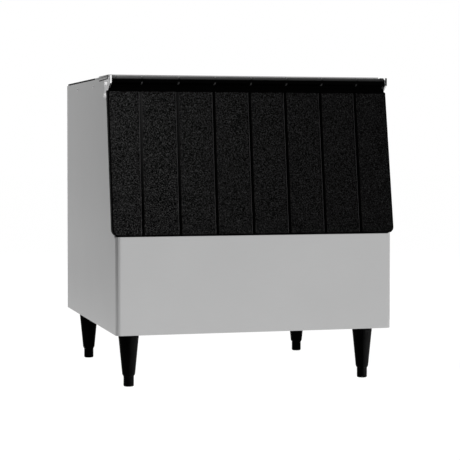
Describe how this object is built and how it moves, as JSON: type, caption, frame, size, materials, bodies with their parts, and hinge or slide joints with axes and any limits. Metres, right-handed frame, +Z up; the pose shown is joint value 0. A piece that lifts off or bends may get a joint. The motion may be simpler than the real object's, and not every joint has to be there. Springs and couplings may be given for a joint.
{
  "type": "ice storage bin",
  "caption": "Insulated steel ice storage bin on adjustable legs, open on top, with a sloping black moulded lift-up door on two hinge pins.",
  "frame": {"origin": "on the floor, under the middle of the cabinet's width and depth", "axes": "+Z up, -Y towards the door, +X to the right of someone facing the door; the part is mirror-symmetric about x = 0"},
  "size_m": [0.7832, 0.787, 0.833],
  "materials": {
    "brushed_steel": "satin",
    "galvanised_steel": "satin",
    "polished_steel": "polished",
    "black_moulding": "matte",
    "black_plastic": "satin",
    "black_rubber": "matte",
    "white_moulding": "satin",
    "nylon": "satin",
    "insulating_foam": "matte"
  },
  "bodies": {
    "cabinet": {"left_side_panel": "brushed_steel", "right_side_panel": "brushed_steel", "lower_front_panel": "brushed_steel", "back_panel": "galvanised_steel", "base_pan": "galvanised_steel", "insulation_foam": "insulating_foam", "ice_liner": "white_moulding", "throat_frame": "white_moulding", "throat_seal": "black_rubber", "top_cover": "brushed_steel", "top_seal": "black_rubber", "drain_fitting": "black_plastic", "drain_locknut": "black_plastic", "left_hinge_bracket": "polished_steel", "left_hinge_pin": "polished_steel", "left_upper_screw": "polished_steel", "left_lower_screw": "polished_steel", "left_rear_rivet": "polished_steel", "left_middle_rivet": "polished_steel", "right_hinge_bracket": "polished_steel", "right_hinge_pin": "polished_steel", "right_upper_screw": "polished_steel", "right_lower_screw": "polished_steel", "right_rear_rivet": "polished_steel", "right_middle_rivet": "polished_steel", "front_left_nut_plate": "galvanised_steel", "front_left_leg_sleeve": "black_plastic", "front_right_nut_plate": "galvanised_steel", "front_right_leg_sleeve": "black_plastic", "rear_left_nut_plate": "galvanised_steel", "rear_left_leg_sleeve": "black_plastic", "rear_right_nut_plate": "galvanised_steel", "rear_right_leg_sleeve": "black_plastic"},
    "door": {"door_shell": "black_moulding", "door_inner_panel": "black_moulding", "door_foam": "insulating_foam", "left_hinge_bush": "nylon", "right_hinge_bush": "nylon"},
    "front_left_foot": {"front_left_foot": "black_plastic"},
    "front_right_foot": {"front_right_foot": "black_plastic"},
    "rear_left_foot": {"rear_left_foot": "black_plastic"},
    "rear_right_foot": {"rear_right_foot": "black_plastic"}
  },
  "joints": [
    {"name": "door_hinge", "type": "hinge", "parent": "cabinet", "child": "door", "pos_m": [0, -0.32799, 0.8175], "axis": [-1, 0, 0], "range_deg": [0, 170]},
    {"name": "front_left_foot_thread", "type": "slide", "parent": "cabinet", "child": "front_left_foot", "axis": [0, 0, -1], "range_m": [0, 0.025]},
    {"name": "front_right_foot_thread", "type": "slide", "parent": "cabinet", "child": "front_right_foot", "axis": [0, 0, -1], "range_m": [0, 0.025]},
    {"name": "rear_left_foot_thread", "type": "slide", "parent": "cabinet", "child": "rear_left_foot", "axis": [0, 0, -1], "range_m": [0, 0.025]},
    {"name": "rear_right_foot_thread", "type": "slide", "parent": "cabinet", "child": "rear_right_foot", "axis": [0, 0, -1], "range_m": [0, 0.025]}
  ]
}
